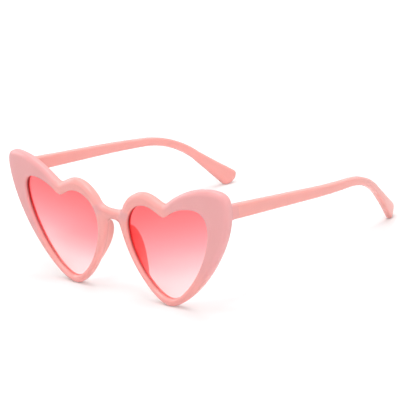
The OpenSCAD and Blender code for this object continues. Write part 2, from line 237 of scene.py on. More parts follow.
# %% Direction away from the opening at each column
def outward(path, i):
    step = path[(i + 1) % len(path)] - path[i - 1]
    return Vector((-step.y, step.x)).normalized()


def on_bridge(i):
    return bridge_first <= i <= bridge_last


opening_out = [outward(opening, i) for i in range(columns)]
edge_out = [Vector((0, (edge[i].y - bridge_middle) / (BRIDGE_H / 2)))
            if on_bridge(i) else outward(edge, i) for i in range(columns)]
print("columns that end on the middle plane:", sum(on_bridge(i) for i in range(columns)))

# %% [markdown]
# ## Modelling by extruding a loop
#
# Every skin here is a loop of corners that is extruded again and again, and each
# new loop is moved to its own section. By hand this is E, then G, many times
# over. It gives clean rows of four-sided faces that follow the form, which is
# what smooth reflections need. A cut-out plate with a bevel would be quicker, but
# its large many-sided face can't follow the curve of the front.

# %% The loop modeller
def put_loop(mesh, indices, points):
    mesh.verts.ensure_lookup_table()
    for index, point in zip(indices, points):
        mesh.verts[index].co = Vector(point) * MM


def next_loop(mesh, indices):
    """Indices of the extruded corners, in the order of the corners they came from."""
    mesh.verts.index_update()
    mesh.verts.ensure_lookup_table()
    found = []
    for index in indices:
        corner = mesh.verts[index]
        twin = next(e.other_vert(corner) for e in corner.link_edges
                    if e.other_vert(corner).select)
        found.append(twin.index)
    return found


def select_corners(mesh, indices):
    bpy.ops.mesh.select_all(action="DESELECT")
    mesh.verts.ensure_lookup_table()
    for index in indices:
        mesh.verts[index].select = True
    mesh.select_flush(True)


def loft(name, sections, caps=True):
    """A skin through sections, each a closed loop of as many points in millimetres."""
    select_only()
    bpy.ops.mesh.primitive_circle_add(vertices=len(sections[0]), radius=MM)
    piece = bpy.context.object
    piece.name = piece.data.name = name
    bpy.ops.object.mode_set(mode="EDIT")
    bpy.ops.mesh.select_mode(type="VERT")
    bpy.ops.mesh.select_all(action="SELECT")
    mesh = bmesh.from_edit_mesh(piece.data)
    first = loop = list(range(len(sections[0])))
    put_loop(mesh, loop, sections[0])
    for section in sections[1:]:
        bpy.ops.mesh.extrude_region()
        mesh = bmesh.from_edit_mesh(piece.data)
        loop = next_loop(mesh, loop)
        put_loop(mesh, loop, section)
    if caps:
        for end in (first, loop):
            select_corners(mesh, end)
            bpy.ops.mesh.edge_face_add()
            mesh = bmesh.from_edit_mesh(piece.data)
    bmesh.update_edit_mesh(piece.data)
    bpy.ops.mesh.select_all(action="SELECT")
    bpy.ops.mesh.remove_doubles(threshold=SAME_PLACE)
    bpy.ops.mesh.normals_make_consistent(inside=False)
    bpy.ops.object.mode_set(mode="OBJECT")
    return piece


def shade(piece, degrees=38):
    select_only(piece)
    bpy.ops.object.shade_smooth_by_angle(angle=math.radians(degrees))


def mirrored(piece, name):
    """The other side's piece, with a mesh of its own whose faces are turned back out."""
    twin = bpy.data.objects.new(name, piece.data.copy())
    twin.data.name = name
    twin.data.transform(Matrix.Scale(-1, 4, (1, 0, 0)))
    bpy.context.scene.collection.objects.link(twin)
    edit_all(twin)
    bpy.ops.mesh.flip_normals()
    bpy.ops.object.mode_set(mode="OBJECT")
    return twin


def dress(piece, finish, slot, body, *nodes):
    piece.data.materials.clear()
    piece.data.materials.append(finish)
    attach(piece, body)
    if nodes:
        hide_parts(*nodes)
    print(piece.name, "rides on", body, "with", len(piece.data.polygons), "faces")


# %% [markdown]
# ## Finish of the frame: injection moulded polycarbonate
#
# The rims and arms are moulded in a polished steel mould and come out with a
# soft gloss. The pink is mixed through the plastic, so a little light goes in at
# thin edges and comes back warmer: that is the subsurface share. Polycarbonate
# has an IOR of 1.58. The faint swell that cooling leaves in a moulded face is a
# wave about 9 mm long and only hundredths of a millimetre deep, and the very fine
# grain of the mould breaks up the gloss. Real grain is some 0.05 mm, too fine to
# show, so it is drawn at 0.4 mm. Two numbers that the front's mesh carries paint
# light and shade into the tone: a painted glow makes the thin parts warmer, and
# painted shade makes the walls of the recess darker.

# %% Moulded plastic
SWELL_LENGTH, SWELL_DEPTH, SWELL_STRENGTH = 9 * MM, 0.05 * MM, 0.25
GRAIN, GRAIN_DEPTH, GRAIN_STRENGTH = 0.4 * MM, 0.01 * MM, 0.12
PLASTIC_IOR, GLOSS_SPREAD = 1.58, 0.04
# How much light goes in, how deep, and what red, green and blue get of that depth
GLOW_SHARE, GLOW_DEPTH, GLOW_REACH = 0.15, 1.5 * MM, (1.0, 0.45, 0.4)


# The third colour is a painted glow on the thin parts, and the dark red one is painted shade on
# the walls of the recess
def moulded_plastic(name, base_hex, shade_hex, painted_glow_hex, painted_shade_hex="#8A3430", roughness=0.2):
    finish = bpy.data.materials.new(name)
    tree = blank_tree(finish)
    place = add_node(tree, "ShaderNodeTexCoord").outputs["Object"]
    swell = add_node(tree, "ShaderNodeTexNoise", Vector=place, Scale=1 / SWELL_LENGTH,
                     Detail=1.0, Roughness=0.4)
    grain = add_node(tree, "ShaderNodeTexNoise", Vector=place, Scale=1 / GRAIN,
                     Detail=2.0, Roughness=0.5)
    tone = add_node(tree, "ShaderNodeMix", {"data_type": "RGBA"}, i0=swell.outputs["Fac"],
                    i6=colour(base_hex), i7=colour(shade_hex))
    # Two marks on the mesh paint light and shade into the tone: the glow and the shade
    for mark, mark_hex in (("painted_glow_thin", painted_glow_hex), ("painted_recess_shade", painted_shade_hex)):
        marked = add_node(tree, "ShaderNodeAttribute", {"attribute_name": mark})
        tone = add_node(tree, "ShaderNodeMix", {"data_type": "RGBA"}, i0=marked.outputs["Fac"],
                        i6=tone.outputs[2], i7=colour(mark_hex))
    gloss = add_node(tree, "ShaderNodeMapRange", Value=grain.outputs["Fac"],
                     To_Min=roughness - GLOSS_SPREAD, To_Max=roughness + GLOSS_SPREAD)
    wave = add_node(tree, "ShaderNodeBump", Height=swell.outputs["Fac"],
                    Strength=SWELL_STRENGTH, Distance=SWELL_DEPTH)
    fine = add_node(tree, "ShaderNodeBump", Height=grain.outputs["Fac"],
                    Normal=wave.outputs["Normal"], Strength=GRAIN_STRENGTH, Distance=GRAIN_DEPTH)
    plastic = add_node(tree, "ShaderNodeBsdfPrincipled", Base_Color=tone.outputs[2],
                       Roughness=gloss.outputs[0], IOR=PLASTIC_IOR, Normal=fine.outputs["Normal"])
    plastic.inputs["Subsurface Weight"].default_value = GLOW_SHARE
    plastic.inputs["Subsurface Radius"].default_value = GLOW_REACH
    plastic.inputs["Subsurface Scale"].default_value = GLOW_DEPTH
    add_node(tree, "ShaderNodeOutputMaterial", Surface=plastic.outputs[0])
    return finish


# The front's last colour is its painted glow on the thin parts
front_plastic = moulded_plastic("moulded_pink_front", "#F3ACAC", "#F1A8A8", "#FDACA6")
lug_plastic = moulded_plastic("moulded_pink_lug", "#F5A9A6", "#F3A5A1", "#F5A9A6")
arm_plastic = moulded_plastic("moulded_pink_arm", "#FBABA4", "#F9A69E", "#FBABA4")
pad_plastic = moulded_plastic("moulded_pink_pad", "#FAABA3", "#F8A69D", "#FAABA3",
                              roughness=0.35)
print("plastic finishes:", [finish.name for finish in (front_plastic, lug_plastic,
                                                       arm_plastic, pad_plastic)])

# %% [markdown]
# ## The front
#
# The real front is one moulding: two heart rims, the bridge and a lug behind each
# wing. Its face is gently wrapped round the wearer's face, the bridge lies a
# little deeper than the rims, and every edge is softened. The section below walks
# once round the rim: lip of the opening, face, outer chamfer, wall, rear
# rounding, rear face, and the groove that the lens snaps into.

# %% Form of the front's face
EARLY_SWEEP_SHARE = 0.28
BRIDGE_SET_BACK = 0.8
foot_x = across(POINT_SHARE)


def sag(x):
    share = abs(x) / half_w
    return WING_SWEEP * (EARLY_SWEEP_SHARE * share ** 2 + (1 - EARLY_SWEEP_SHARE) * share ** 4)


foot_lift = math.sin(FRONT_LEAN) * (sag(foot_x) + EDGE_R)


def lean(x, y, z):
    """From the upright front to the standing pair: the top leans to the onlooker."""
    turned_y = y * math.cos(FRONT_LEAN) - z * math.sin(FRONT_LEAN)
    turned_z = z * math.cos(FRONT_LEAN) + y * math.sin(FRONT_LEAN)
    return (x, turned_y + shift_y, turned_z - foot_lift)


def face_point(flat, depth):
    """A point of the front: across and up in its plane, and behind its face."""
    return lean(flat.x, sag(flat.x) + depth, flat.y)


print("the wings lie", round(sag(half_w), 1), "mm behind the middle")

# %% Section of the rim
LENS_BACK = FRONT_T - REAR_LIP
LENS_SET = LENS_BACK - LENS_T
GROOVE_IN = LENS_BITE + SEAT_GAP
FACE_ROWS, WALL_ROWS, REAR_ROWS = 20, 3, 6
LIP_STEPS, CHAMFER_STEPS, REAR_STEPS, REAR_LIP_STEPS = 7, 9, 5, 3
# 1 would be a round edge, 2 a flat chamfer: this one is a chamfer with soft ends
CHAMFER_POWER = 1.3
LIP_RUN, LIP_DROP, EDGE_RUN, EDGE_DROP = 1.5, 0.9, 2.3, 1.5
# Where the rim is narrow, lip and chamfer take at most these shares of its width
LIP_SHARE, CHAMFER_SHARE = 0.34, 0.54
rim_widths = [(edge[i] - opening[i]).length for i in range(columns)]
lip_runs = [min(LIP_RUN, LIP_SHARE * width) for width in rim_widths]
edge_runs = [min(EDGE_RUN, CHAMFER_SHARE * width) for width in rim_widths]
near_opening = kdtree.KDTree(columns)
for i, p in enumerate(opening):
    near_opening.insert((p.x, p.y, 0), i)
near_opening.balance()


def quarter(steps):
    return [math.radians(90 * k / steps) for k in range(steps + 1)]


# Each row is (share from opening to edge, step out from opening, step in from edge, depth).
# In the soft front rows the steps are shares of the local run, in the others millimetres.
soft_rows = [(0, 1 - math.cos(t), 0, LIP_DROP * (1 - math.sin(t))) for t in quarter(LIP_STEPS)]
soft_rows += [(k / FACE_ROWS, 1, 1, 0) for k in range(1, FACE_ROWS)]
soft_rows += [(1, 0, 1 - math.sin(t) ** CHAMFER_POWER,
               EDGE_DROP * (1 - math.cos(t) ** CHAMFER_POWER)) for t in quarter(CHAMFER_STEPS)]
rear_rows = [(1, 0, 0, mix(EDGE_DROP, FRONT_T - BACK_R, k / WALL_ROWS))
             for k in range(1, WALL_ROWS)]
rear_rows += [(1, 0, BACK_R * (1 - math.cos(t)), FRONT_T - BACK_R * (1 - math.sin(t)))
              for t in quarter(REAR_STEPS)]
rear_rows += [(1 - k / REAR_ROWS, LIP_R / 2, BACK_R, FRONT_T) for k in range(1, REAR_ROWS)]
rear_rows += [(0, LIP_R / 2 * (1 - math.sin(t)), 0, FRONT_T - LIP_R / 2 * (1 - math.cos(t)))
              for t in quarter(REAR_LIP_STEPS)]
rear_rows += [(0, 0, 0, LENS_BACK + SEAT_GAP), (0, GROOVE_IN, 0, LENS_BACK + SEAT_GAP),
              (0, GROOVE_IN, 0, LENS_SET - SEAT_GAP), (0, 0, 0, LENS_SET - SEAT_GAP)]

# The bridge sinks back between these distances from the opening,
SINK_START, SINK_END = NOSE_RIM_W - 0.2, NOSE_RIM_W + 1.2
# and comes up again between these distances from the middle plane
RISE_START, RISE_END = 6.8, 9.0


def rim_point(i, row, soft):
    share, out_step, in_step, depth = row
    if soft:
        out_step, in_step = out_step * lip_runs[i], in_step * edge_runs[i]
    inner = opening[i] + out_step * opening_out[i]
    outer = edge[i] - in_step * edge_out[i]
    flat = inner * (1 - share) + outer * share
    from_opening = near_opening.find((flat.x, flat.y, 0))[2]
    set_back = (BRIDGE_SET_BACK * smooth_step(SINK_START, SINK_END, from_opening)
                * (1 - smooth_step(RISE_START, RISE_END, flat.x)))
    return face_point(flat, depth + set_back * max(0, 1 - depth / FRONT_T))


rows = [(row, True) for row in soft_rows] + [(row, False) for row in rear_rows]
sections = [[rim_point(i, row, soft) for i in range(columns)] for row, soft in rows + rows[:1]]
front = loft("front_skin", sections, caps=False)
print("half of the front has", len(front.data.polygons), "faces")

# %% [markdown]
# The loft makes the eye on the wearer's left and half of the bridge. The faces
# that lie on the middle plane are inside the bridge, so they go, and a Mirror
# modifier adds the other half and welds the two along that plane.

# %% Open the middle, mirror and weld
select_only(front)
bpy.ops.object.mode_set(mode="EDIT")
bpy.ops.mesh.select_all(action="DESELECT")
mesh = bmesh.from_edit_mesh(front.data)
for face in mesh.faces:
    face.select = all(abs(corner.co.x) < SAME_PLACE for corner in face.verts)
print("faces on the middle plane:", sum(face.select for face in mesh.faces))
bpy.ops.mesh.delete(type="FACE")
bpy.ops.object.mode_set(mode="OBJECT")
bpy.ops.object.modifier_add(type="MIRROR")
front.modifiers["Mirror"].merge_threshold = WELD_GAP
bpy.ops.object.modifier_apply(modifier="Mirror")
edit_all(front)
bpy.ops.mesh.normals_make_consistent(inside=False)
bpy.ops.object.mode_set(mode="OBJECT")

# %% [markdown]
# Where the columns of bridge, nose rim and lobe meet, the face has faint kinks that
# a glossy finish would show. Smooth Vertices takes them out of the depth only, so
# the outline of the bridge stays.

# %% Smooth the face of the bridge
BRIDGE_REACH, SMOOTH_SHARE, SMOOTH_ROUNDS = 7.5, 0.5, 14


def flat_place(corner):
    """Back from the standing pair: across, behind the face, and up in the front's plane."""
    x, y, z = corner.co / MM
    y, z = y - shift_y, z + foot_lift
    y, z = (y * math.cos(FRONT_LEAN) + z * math.sin(FRONT_LEAN),
            z * math.cos(FRONT_LEAN) - y * math.sin(FRONT_LEAN))
    return x, y - sag(x), z


bpy.ops.object.mode_set(mode="EDIT")
bpy.ops.mesh.select_all(action="DESELECT")
mesh = bmesh.from_edit_mesh(front.data)
for corner in mesh.verts:
    x, depth, z = flat_place(corner)
    corner.select = (abs(x) < BRIDGE_REACH and depth < EDGE_DROP
                     and abs(z - bridge_middle) < BRIDGE_H)
mesh.select_flush(True)
print("corners smoothed:", sum(corner.select for corner in mesh.verts))
bpy.ops.mesh.vertices_smooth(factor=SMOOTH_SHARE, repeat=SMOOTH_ROUNDS,
                             xaxis=False, zaxis=False)
bpy.ops.object.mode_set(mode="OBJECT")
shade(front)
dress(front, front_plastic, "frame_plastic", "front", "front_frame")

# %% [markdown]
# The side walls of an opening lie in a narrow recess between lip and lens, where
# shade falls, and a dark line is painted there as shade. A number on each corner,
# from 0 to 1, tells the finish how far to go darker. A second number paints a
# glow on the thin parts, the bridge and the narrow rims, which makes them warmer
# than the wings, as light shining through them would. The numbers belong to the
# mesh, so they stay in place in every view.

# %% Paint shade on the side walls of the openings, and a glow on the thin parts
ON_WALL = 0.02
# Depths, rim widths and distances from the middle plane where the painted shade and the painted
# glow start and end
SHADE_START_DEPTH, SHADE_FULL_DEPTH = LIP_DROP * 1.05, LIP_DROP * 1.4
THIN_RIM, THICK_RIM = 5.5, 11
THIN_BRIDGE, BRIDGE_END = 4.5, 8
for mark in ("painted_recess_shade", "painted_glow_thin"):
    front.data.attributes.new(mark, "FLOAT", "POINT")
painted_shade_marks, painted_glow_marks = [], []
for corner in front.data.vertices:
    x, depth, z = flat_place(corner)
    i, gap = near_opening.find((abs(x), z, 0))[1:]
    on_wall = gap < ON_WALL and depth < LENS_BACK
    # Painted shade: darker deeper in the recess, most on the walls that face sideways
    painted_shade_marks.append(on_wall * smooth_step(SHADE_START_DEPTH, SHADE_FULL_DEPTH, depth)
                        * abs(opening_out[i].x))
    # Painted glow: warmer on narrow rims and near the middle of the bridge
    painted_glow_marks.append(max(1 - smooth_step(THIN_RIM, THICK_RIM, rim_widths[i]),
                          1 - smooth_step(THIN_BRIDGE, BRIDGE_END, abs(x))))
front.data.attributes["painted_recess_shade"].data.foreach_set("value", painted_shade_marks)
front.data.attributes["painted_glow_thin"].data.foreach_set("value", painted_glow_marks)
print("corners in the recess:", sum(mark > 0 for mark in painted_shade_marks))


# %% [markdown]
# ## Rounded sections
#
# Lugs and arms have the section of a flat bar with rounded edges. One function
# gives its loop, with enough corners on each rounding for a clean gleam.

# %% Loop of a rounded bar
CORNER_STEPS, FLAT_STEPS = 6, 3
CORNER_SIGNS = ((1, 1), (-1, 1), (-1, -1), (1, -1))


def on_rounding(corner, turn, half_x, half_z, radius):
    """A point on the rounding of one corner, at so many quarter turns."""
    sign_x, sign_z = CORNER_SIGNS[corner % len(CORNER_SIGNS)]
    angle = math.radians(90 * turn)
    return (sign_x * (half_x - radius) + radius * math.cos(angle),
            sign_z * (half_z - radius) + radius * math.sin(angle))


def bar_loop(half_x, half_z, radius):
    points = []
    for corner in range(len(CORNER_SIGNS)):
        points += [on_rounding(corner, corner + k / CORNER_STEPS, half_x, half_z, radius)
                   for k in range(CORNER_STEPS + 1)]
        last = points[-1]
        after = on_rounding(corner + 1, corner + 1, half_x, half_z, radius)
        points += [(mix(last[0], after[0], k / FLAT_STEPS), mix(last[1], after[1], k / FLAT_STEPS))
                   for k in range(1, FLAT_STEPS)]
    return points


print("corners round a bar:", len(bar_loop(ARM_T / 2, ARM_ROOT_H / 2, ARM_EDGE_R)))

# %% [markdown]
# ## The arms
#
# An arm is widest at the hinge, narrows to the bend over the ear, and swells to a
# paddle at the tip. Seen from above it splays a little and then curves in to hold
# the head. Its side view is a straight, an arc and a straight tail. The whole arm
# is turned down until its tip touches the table.

# %% Side view and plan of an arm
# How far round its own rounding the tip touches the table
FOOT_TURN = math.radians(30)


def bend_place(turn):
    return Vector((ARM_STRAIGHT + BEND_R * math.sin(turn), -BEND_R * (1 - math.cos(turn))))


def bend_up(turn):
    return Vector((math.sin(turn), math.cos(turn)))


tail_start, tail_up = bend_place(BEND_TURN), bend_up(BEND_TURN)
tail_dir = Vector((math.cos(BEND_TURN), -math.sin(BEND_TURN)))
tail_end = tail_start + TAIL_L * tail_dir
foot = (tail_end + TIP_ROUND_L * math.sin(FOOT_TURN) * tail_dir
        - ARM_TIP_H / 2 * math.cos(FOOT_TURN) * tail_up)
arm_drop = math.asin(hinge_z / foot.length) - math.atan2(-foot.y, foot.x)
print("the arms drop by", round(math.degrees(arm_drop), 2), "degrees")


def dropped(side):
    return Vector((side.x * math.cos(arm_drop) + side.y * math.sin(arm_drop),
                   side.y * math.cos(arm_drop) - side.x * math.sin(arm_drop)))


CURVE_START_SHARE, TAIL_EDGE_R = 0.39, 1.85
tip_reach = dropped(tail_end).x + ARM_TIP_H / 2


def arm_point(side, off):
    """From the side view and a distance off its middle to a place on the left arm."""
    place = dropped(side)
    share = max(0, (place.x / tip_reach - CURVE_START_SHARE) / (1 - CURVE_START_SHARE))
    slope = math.tan(ARM_SPLAY) - 2 * TOE_IN * share / (tip_reach * (1 - CURVE_START_SHARE))
    x = arm_x + math.tan(ARM_SPLAY) * place.x - TOE_IN * share ** 2
    return (x + off * math.sqrt(1 + slope ** 2), shift_y + JOINT_Y + place.x, hinge_z + place.y)


# %% Stations along an arm, and its skin
STRAIGHT_LOOPS, BEND_LOOPS, TAIL_LOOPS = 30, 24, 12
TIP_DEGREES = (10, 20, 30, 40, 50, 60, 70, 78, 84)
# The tip thins to this share, and a rounding takes at most this share of half the height
TIP_T_SHARE, ROUNDING_SHARE = 0.45, 0.6
# Each station is (middle, direction up, half height, share of full thickness)
stations = []
for k in range(1, STRAIGHT_LOOPS + 1):
    share = k / STRAIGHT_LOOPS
    stations.append((Vector((share * ARM_STRAIGHT, 0)), Vector((0, 1)),
                     mix(ARM_ROOT_H, ARM_NECK_H, share) / 2, 1))
for k in range(1, BEND_LOOPS + 1):
    turn = BEND_TURN * k / BEND_LOOPS
    stations.append((bend_place(turn), bend_up(turn), ARM_NECK_H / 2, 1))
for k in range(1, TAIL_LOOPS + 1):
    share = k / TAIL_LOOPS
    height = mix(ARM_NECK_H, ARM_TIP_H, share)
    stations.append((tail_start + share * TAIL_L * tail_dir, tail_up, height / 2, 1))
for turn in [math.radians(degrees) for degrees in TIP_DEGREES]:
    stations.append((tail_end + TIP_ROUND_L * math.sin(turn) * tail_dir, tail_up,
                     ARM_TIP_H / 2 * math.cos(turn), mix(TIP_T_SHARE, 1, math.cos(turn))))


def station_loop(station):
    middle, upright, half, share = station
    along_tail = smooth_step(ARM_STRAIGHT, tail_start.x + TAIL_L / 2, middle.x)
    radius = min(mix(ARM_EDGE_R, TAIL_EDGE_R, along_tail), half * ROUNDING_SHARE) * share
    return [arm_point(middle + z * upright, off)
            for off, z in bar_loop(ARM_T / 2 * share, half, radius)]


root_loop = [arm_point(Vector((JOINT_GAP - z * math.tan(arm_drop), z)), off)
             for off, z in bar_loop(ARM_T / 2, ARM_ROOT_H / 2, ARM_EDGE_R)]
arm_left = loft("arm_left_skin", [root_loop] + [station_loop(s) for s in stations])
print("loops along an arm:", len(stations) + 1)

# %% [markdown]
# ## The lugs
#
# Behind each wing a lug stands out of the front and carries the hinge. Where it
# leaves the wing it widens, as a moulding does to spread the load. Its end is
# flat and meets the flat end of the arm, so the arm can't open further. The real
# lug is moulded with the rims. Here it is a piece of its own, sunk into the wing.

# %% Lug behind the left wing
LUG_STEPS, LUG_SUNK_SHARE = 14, 0.6
LUG_FLARE_SHARE, LUG_FLARE_POWER = 0.12, 3
lug_rear = sag(arm_x) + FRONT_T - hinge_z * math.sin(FRONT_LEAN)
lug_sections = []
for k in range(LUG_STEPS + 1):
    y = mix(lug_rear - FRONT_T * LUG_SUNK_SHARE, JOINT_Y, k / LUG_STEPS)
    toward_wing = max(0, 1 - (y - lug_rear) / (JOINT_Y - lug_rear))
    flare = 1 + LUG_FLARE_SHARE * toward_wing ** LUG_FLARE_POWER
    rise = (JOINT_Y - y) * math.tan(arm_drop)
    lug_sections.append([(arm_x + off, y + shift_y, hinge_z + rise + z * flare)
                         for off, z in bar_loop(ARM_T / 2, ARM_ROOT_H / 2, ARM_EDGE_R)])
lug_left = loft("lug_left", lug_sections)
print("loops along a lug:", len(lug_sections))

# %% [markdown]
# ## Pockets for the hinge leaves
#
# The metal leaves are pressed into the plastic until they are flush. A cutter
# block a little larger than the leaf, taken away by a Boolean modifier, leaves the
# pocket. How far it reaches comes from the CAD leaf's own box.

# %% Cut the pockets
LEAF_FACE_X = arm_x - ARM_T / 2
POCKET_H, POCKET_T, OVERRUN = 5.45 * MM, 1.25 * MM, 1 * MM
# From the joint to the middle of a leaf, over which the arm has dropped a little
LEAF_MIDDLE = 2.6


def cut_pocket(piece, node):
    low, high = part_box(node)
    toward_lug = node.startswith("front")
    joint = (shift_y + JOINT_Y) * MM
    start = low.y - SEAT_GAP * MM if toward_lug else joint - OVERRUN
    end = joint + OVERRUN if toward_lug else high.y + SEAT_GAP * MM
    middle_z = (hinge_z + (1 if toward_lug else -1) * LEAF_MIDDLE * math.tan(arm_drop)) * MM
    select_only()
    bpy.ops.mesh.primitive_cube_add(size=1, location=(
        LEAF_FACE_X * MM + POCKET_T / 2 - OVERRUN / 2, (start + end) / 2, middle_z))
    cutter = bpy.context.object
    cutter.scale = (POCKET_T + OVERRUN, end - start, POCKET_H)
    cutter.rotation_euler = (-arm_drop, 0, 0)
    select_only(piece)
    bpy.ops.object.modifier_add(type="BOOLEAN")
    cut = piece.modifiers["Boolean"]
    cut.operation, cut.solver, cut.object = "DIFFERENCE", "EXACT", cutter
    bpy.ops.object.modifier_apply(modifier="Boolean")
    bpy.data.objects.remove(cutter)


cut_pocket(lug_left, "front_leaf_left")
cut_pocket(arm_left, "temple_leaf_left")
for piece in (lug_left, arm_left):
    shade(piece, degrees=32)
lug_right = mirrored(lug_left, "lug_right")
arm_right = mirrored(arm_left, "arm_right_skin")
dress(lug_left, lug_plastic, "frame_plastic", "front")
dress(lug_right, lug_plastic, "frame_plastic", "front")
dress(arm_left, arm_plastic, "frame_plastic", "arm_left", "temple_left")
dress(arm_right, arm_plastic, "frame_plastic", "arm_right", "temple_right")

# %% [markdown]
# ## The nose pads
#
# The pads are small fins behind the nose side of each rim. A pad starts just under
# the bridge, reaches back most a little above its middle and runs out lower down.
# Its rear edge is fully rounded, because it rests on skin.

# %% Nose pad behind the left rim
PAD_REACH, PAD_H, PAD_ROOT_T, PAD_EDGE_T, PAD_FLARE = 6.0, 24.0, 2.1, 2.5, 0.4
# How far under the bridge's top a pad starts, as a share of the bridge's height
PAD_DROP_SHARE = 1.42
pad_top = bridge_top - BRIDGE_H * PAD_DROP_SHARE
PAD_LOOPS, PAD_SIDE_STEPS, PAD_ROUND_STEPS = 48, 4, 7
# The rear rounding takes at most these shares of the pad's reach and thickness
REACH_ROUND_SHARE, THICK_ROUND_SHARE = 0.9, 0.48
# The reach is the mean of three places this far apart, which takes out its corners
PAD_BLEND_SHARE = 0.02
# Each pair is (share of the height from below, share of the reach)
PAD_SHARES = [(0, 0.06), (0.05, 0.25), (0.12, 0.42), (0.2, 0.57), (0.3, 0.74), (0.4, 0.88),
              (0.5, 0.97), (0.6, 1), (0.7, 0.98), (0.8, 0.89), (0.88, 0.75), (0.94, 0.56),
              (0.98, 0.32), (1, 0.1)]
nose_side_first = bridge_first - edge_counts[4] - edge_counts[3]
nose_side = [edge[i] for i in range(nose_side_first, bridge_first + 1)]


def between(pairs, value):
    for (a, low), (b, high) in zip(pairs, pairs[1:]):
        if value <= b:
            return mix(low, high, (value - a) / (b - a))
    return pairs[-1][1]


def rim_side(z):
    return between([(p.y, p.x) for p in nose_side], z)


def pad_loop(height_share):
    reaches = [between(PAD_SHARES, min(1, max(0, height_share + shift)))
               for shift in (-PAD_BLEND_SHARE, 0, PAD_BLEND_SHARE)]
    reach_share = sum(reaches) / len(reaches)
    z, reach = pad_top - PAD_H * (1 - height_share), PAD_REACH * reach_share
    thick = mix(PAD_ROOT_T, PAD_EDGE_T, reach_share)
    radius = min(reach * REACH_ROUND_SHARE, thick * THICK_ROUND_SHARE)
    x0 = rim_side(z) + BACK_R
    x1, y0 = x0 + PAD_FLARE * reach_share, FRONT_T + SEAT_GAP
    y1 = y0 + reach - radius
    flat = [(x0 + PAD_ROOT_T, y0), (x0, y0)]
    side_shares = [k / PAD_SIDE_STEPS for k in range(1, PAD_SIDE_STEPS)]
    turns = quarter(PAD_ROUND_STEPS)
    flat += [(mix(x0, x1, share), mix(y0, y1, share)) for share in side_shares]
    flat += [(x1 + radius - radius * math.cos(t), y1 + radius * math.sin(t)) for t in turns]
    flat += [(x1 + thick - radius + radius * math.cos(t), y1 + radius * math.sin(t))
             for t in reversed(turns)]
    flat += [(mix(x1 + thick, x0 + PAD_ROOT_T, share), mix(y1, y0, share))
             for share in side_shares]
    return [lean(x, sag(x) + y, z) for x, y in flat]


pad_left = loft("nose_pad_left_skin", [pad_loop(k / PAD_LOOPS) for k in range(PAD_LOOPS + 1)])
shade(pad_left, degrees=50)
pad_right = mirrored(pad_left, "nose_pad_right_skin")
dress(pad_left, pad_plastic, "frame_plastic", "front", "nose_pad_left")
dress(pad_right, pad_plastic, "frame_plastic", "front", "nose_pad_right")

# %% [markdown]
# ## Finish of the lenses: gradient tinted polycarbonate
#
# Such lenses are dipped in dye and drawn out slowly, so the tint is deep at the
# brow and fades towards the cheek. In the picture the fade also leans: it is
# deeper on the nose side, in the left lens more than in the right. That may come
# from the light as well as from the dye, and here a slant per lens repeats it.
#
# What is seen through a lens is multiplied by the tint, which is why the pads look
# deep red through it. Clear glass in a ray tracer would throw a hard dark shadow,
# so lamps are let through the tint. Polycarbonate has an IOR of 1.58, but the
# picture shows almost no reflection on the lenses, so theirs is matched to that.

# %% Gradient tinted glass
LENS_ROUGHNESS, LENS_IOR = 0.02, 1.3


def gradient_lens(name, middle_x, slant, stops):
    finish = bpy.data.materials.new(name)
    tree = blank_tree(finish)
    place = add_node(tree, "ShaderNodeTexCoord").outputs["Object"]
    axes = add_node(tree, "ShaderNodeSeparateXYZ", Vector=place)
    height = add_node(tree, "ShaderNodeMath", {"operation": "MULTIPLY_ADD"},
                      i0=axes.outputs["X"], i1=-slant, i2=axes.outputs["Z"])
    share = add_node(tree, "ShaderNodeMapRange", Value=height.outputs[0],
                     From_Min=(up(0) - slant * middle_x) * MM,
                     From_Max=(up(1) - slant * middle_x) * MM).outputs[0]
    ramp = add_node(tree, "ShaderNodeValToRGB", Fac=share)
    fade = ramp.color_ramp
    fade.interpolation = "B_SPLINE"
    # A new ramp has two stops already, which become the first and the last one
    for k, (where, hex_value) in enumerate((stops[0], stops[-1], *stops[1:-1])):
        stop = fade.elements[k] if k < 2 else fade.elements.new(where)
        stop.position = where
        stop.color = colour(hex_value)
    glass = add_node(tree, "ShaderNodeBsdfPrincipled", Base_Color=ramp.outputs["Color"],
                     Roughness=LENS_ROUGHNESS, IOR=LENS_IOR)
    glass.inputs["Transmission Weight"].default_value = 1.0
    clear = add_node(tree, "ShaderNodeBsdfTransparent", Color=ramp.outputs["Color"])
    ray = add_node(tree, "ShaderNodeLightPath")
    seen = add_node(tree, "ShaderNodeMixShader", i0=ray.outputs["Is Shadow Ray"],
                    i1=glass.outputs[0], i2=clear.outputs[0])
    add_node(tree, "ShaderNodeOutputMaterial", Surface=seen.outputs[0])
    return finish


# Each stop is (share of the lens height from below, colour)
PINK_FADE = [(0.0, "#FFE6E6"), (0.2, "#FFDDDF"), (0.35, "#FFBDC2"), (0.5, "#FFA0A6"),
             (0.65, "#FF8D92"), (0.8, "#FF7B80"), (1.0, "#FF696C")]
# Rise of the fade for each millimetre towards the wearer's left
LEFT_SLANT, RIGHT_SLANT = 0.3, -0.08
tint_left = gradient_lens("gradient_pink_lens_left", across(0.5), LEFT_SLANT, PINK_FADE)
tint_right = gradient_lens("gradient_pink_lens_right", -across(0.5), RIGHT_SLANT, PINK_FADE)
print("lens tints:", tint_left.name, tint_right.name)

# %% [markdown]
# ## The lenses
#
# A lens is a curved sheet 1.2 mm thick whose edge sits in the rim's groove. The
# heart is drawn in rings round its middle: from the middle of the front surface
# out to the edge, over the edge, and back to the middle of the rear surface.

# %% Lens in the left rim
LENS_MIDDLE_SHARE = 0.52
lens_middle = Vector((across(0.5), up(LENS_MIDDLE_SHARE)))
# Shares of the way from the middle to the edge, closer together near the edge
LENS_RINGS = [0, 0.12, 0.25, 0.4, 0.55, 0.7, 0.82, 0.92, 0.97, 1]


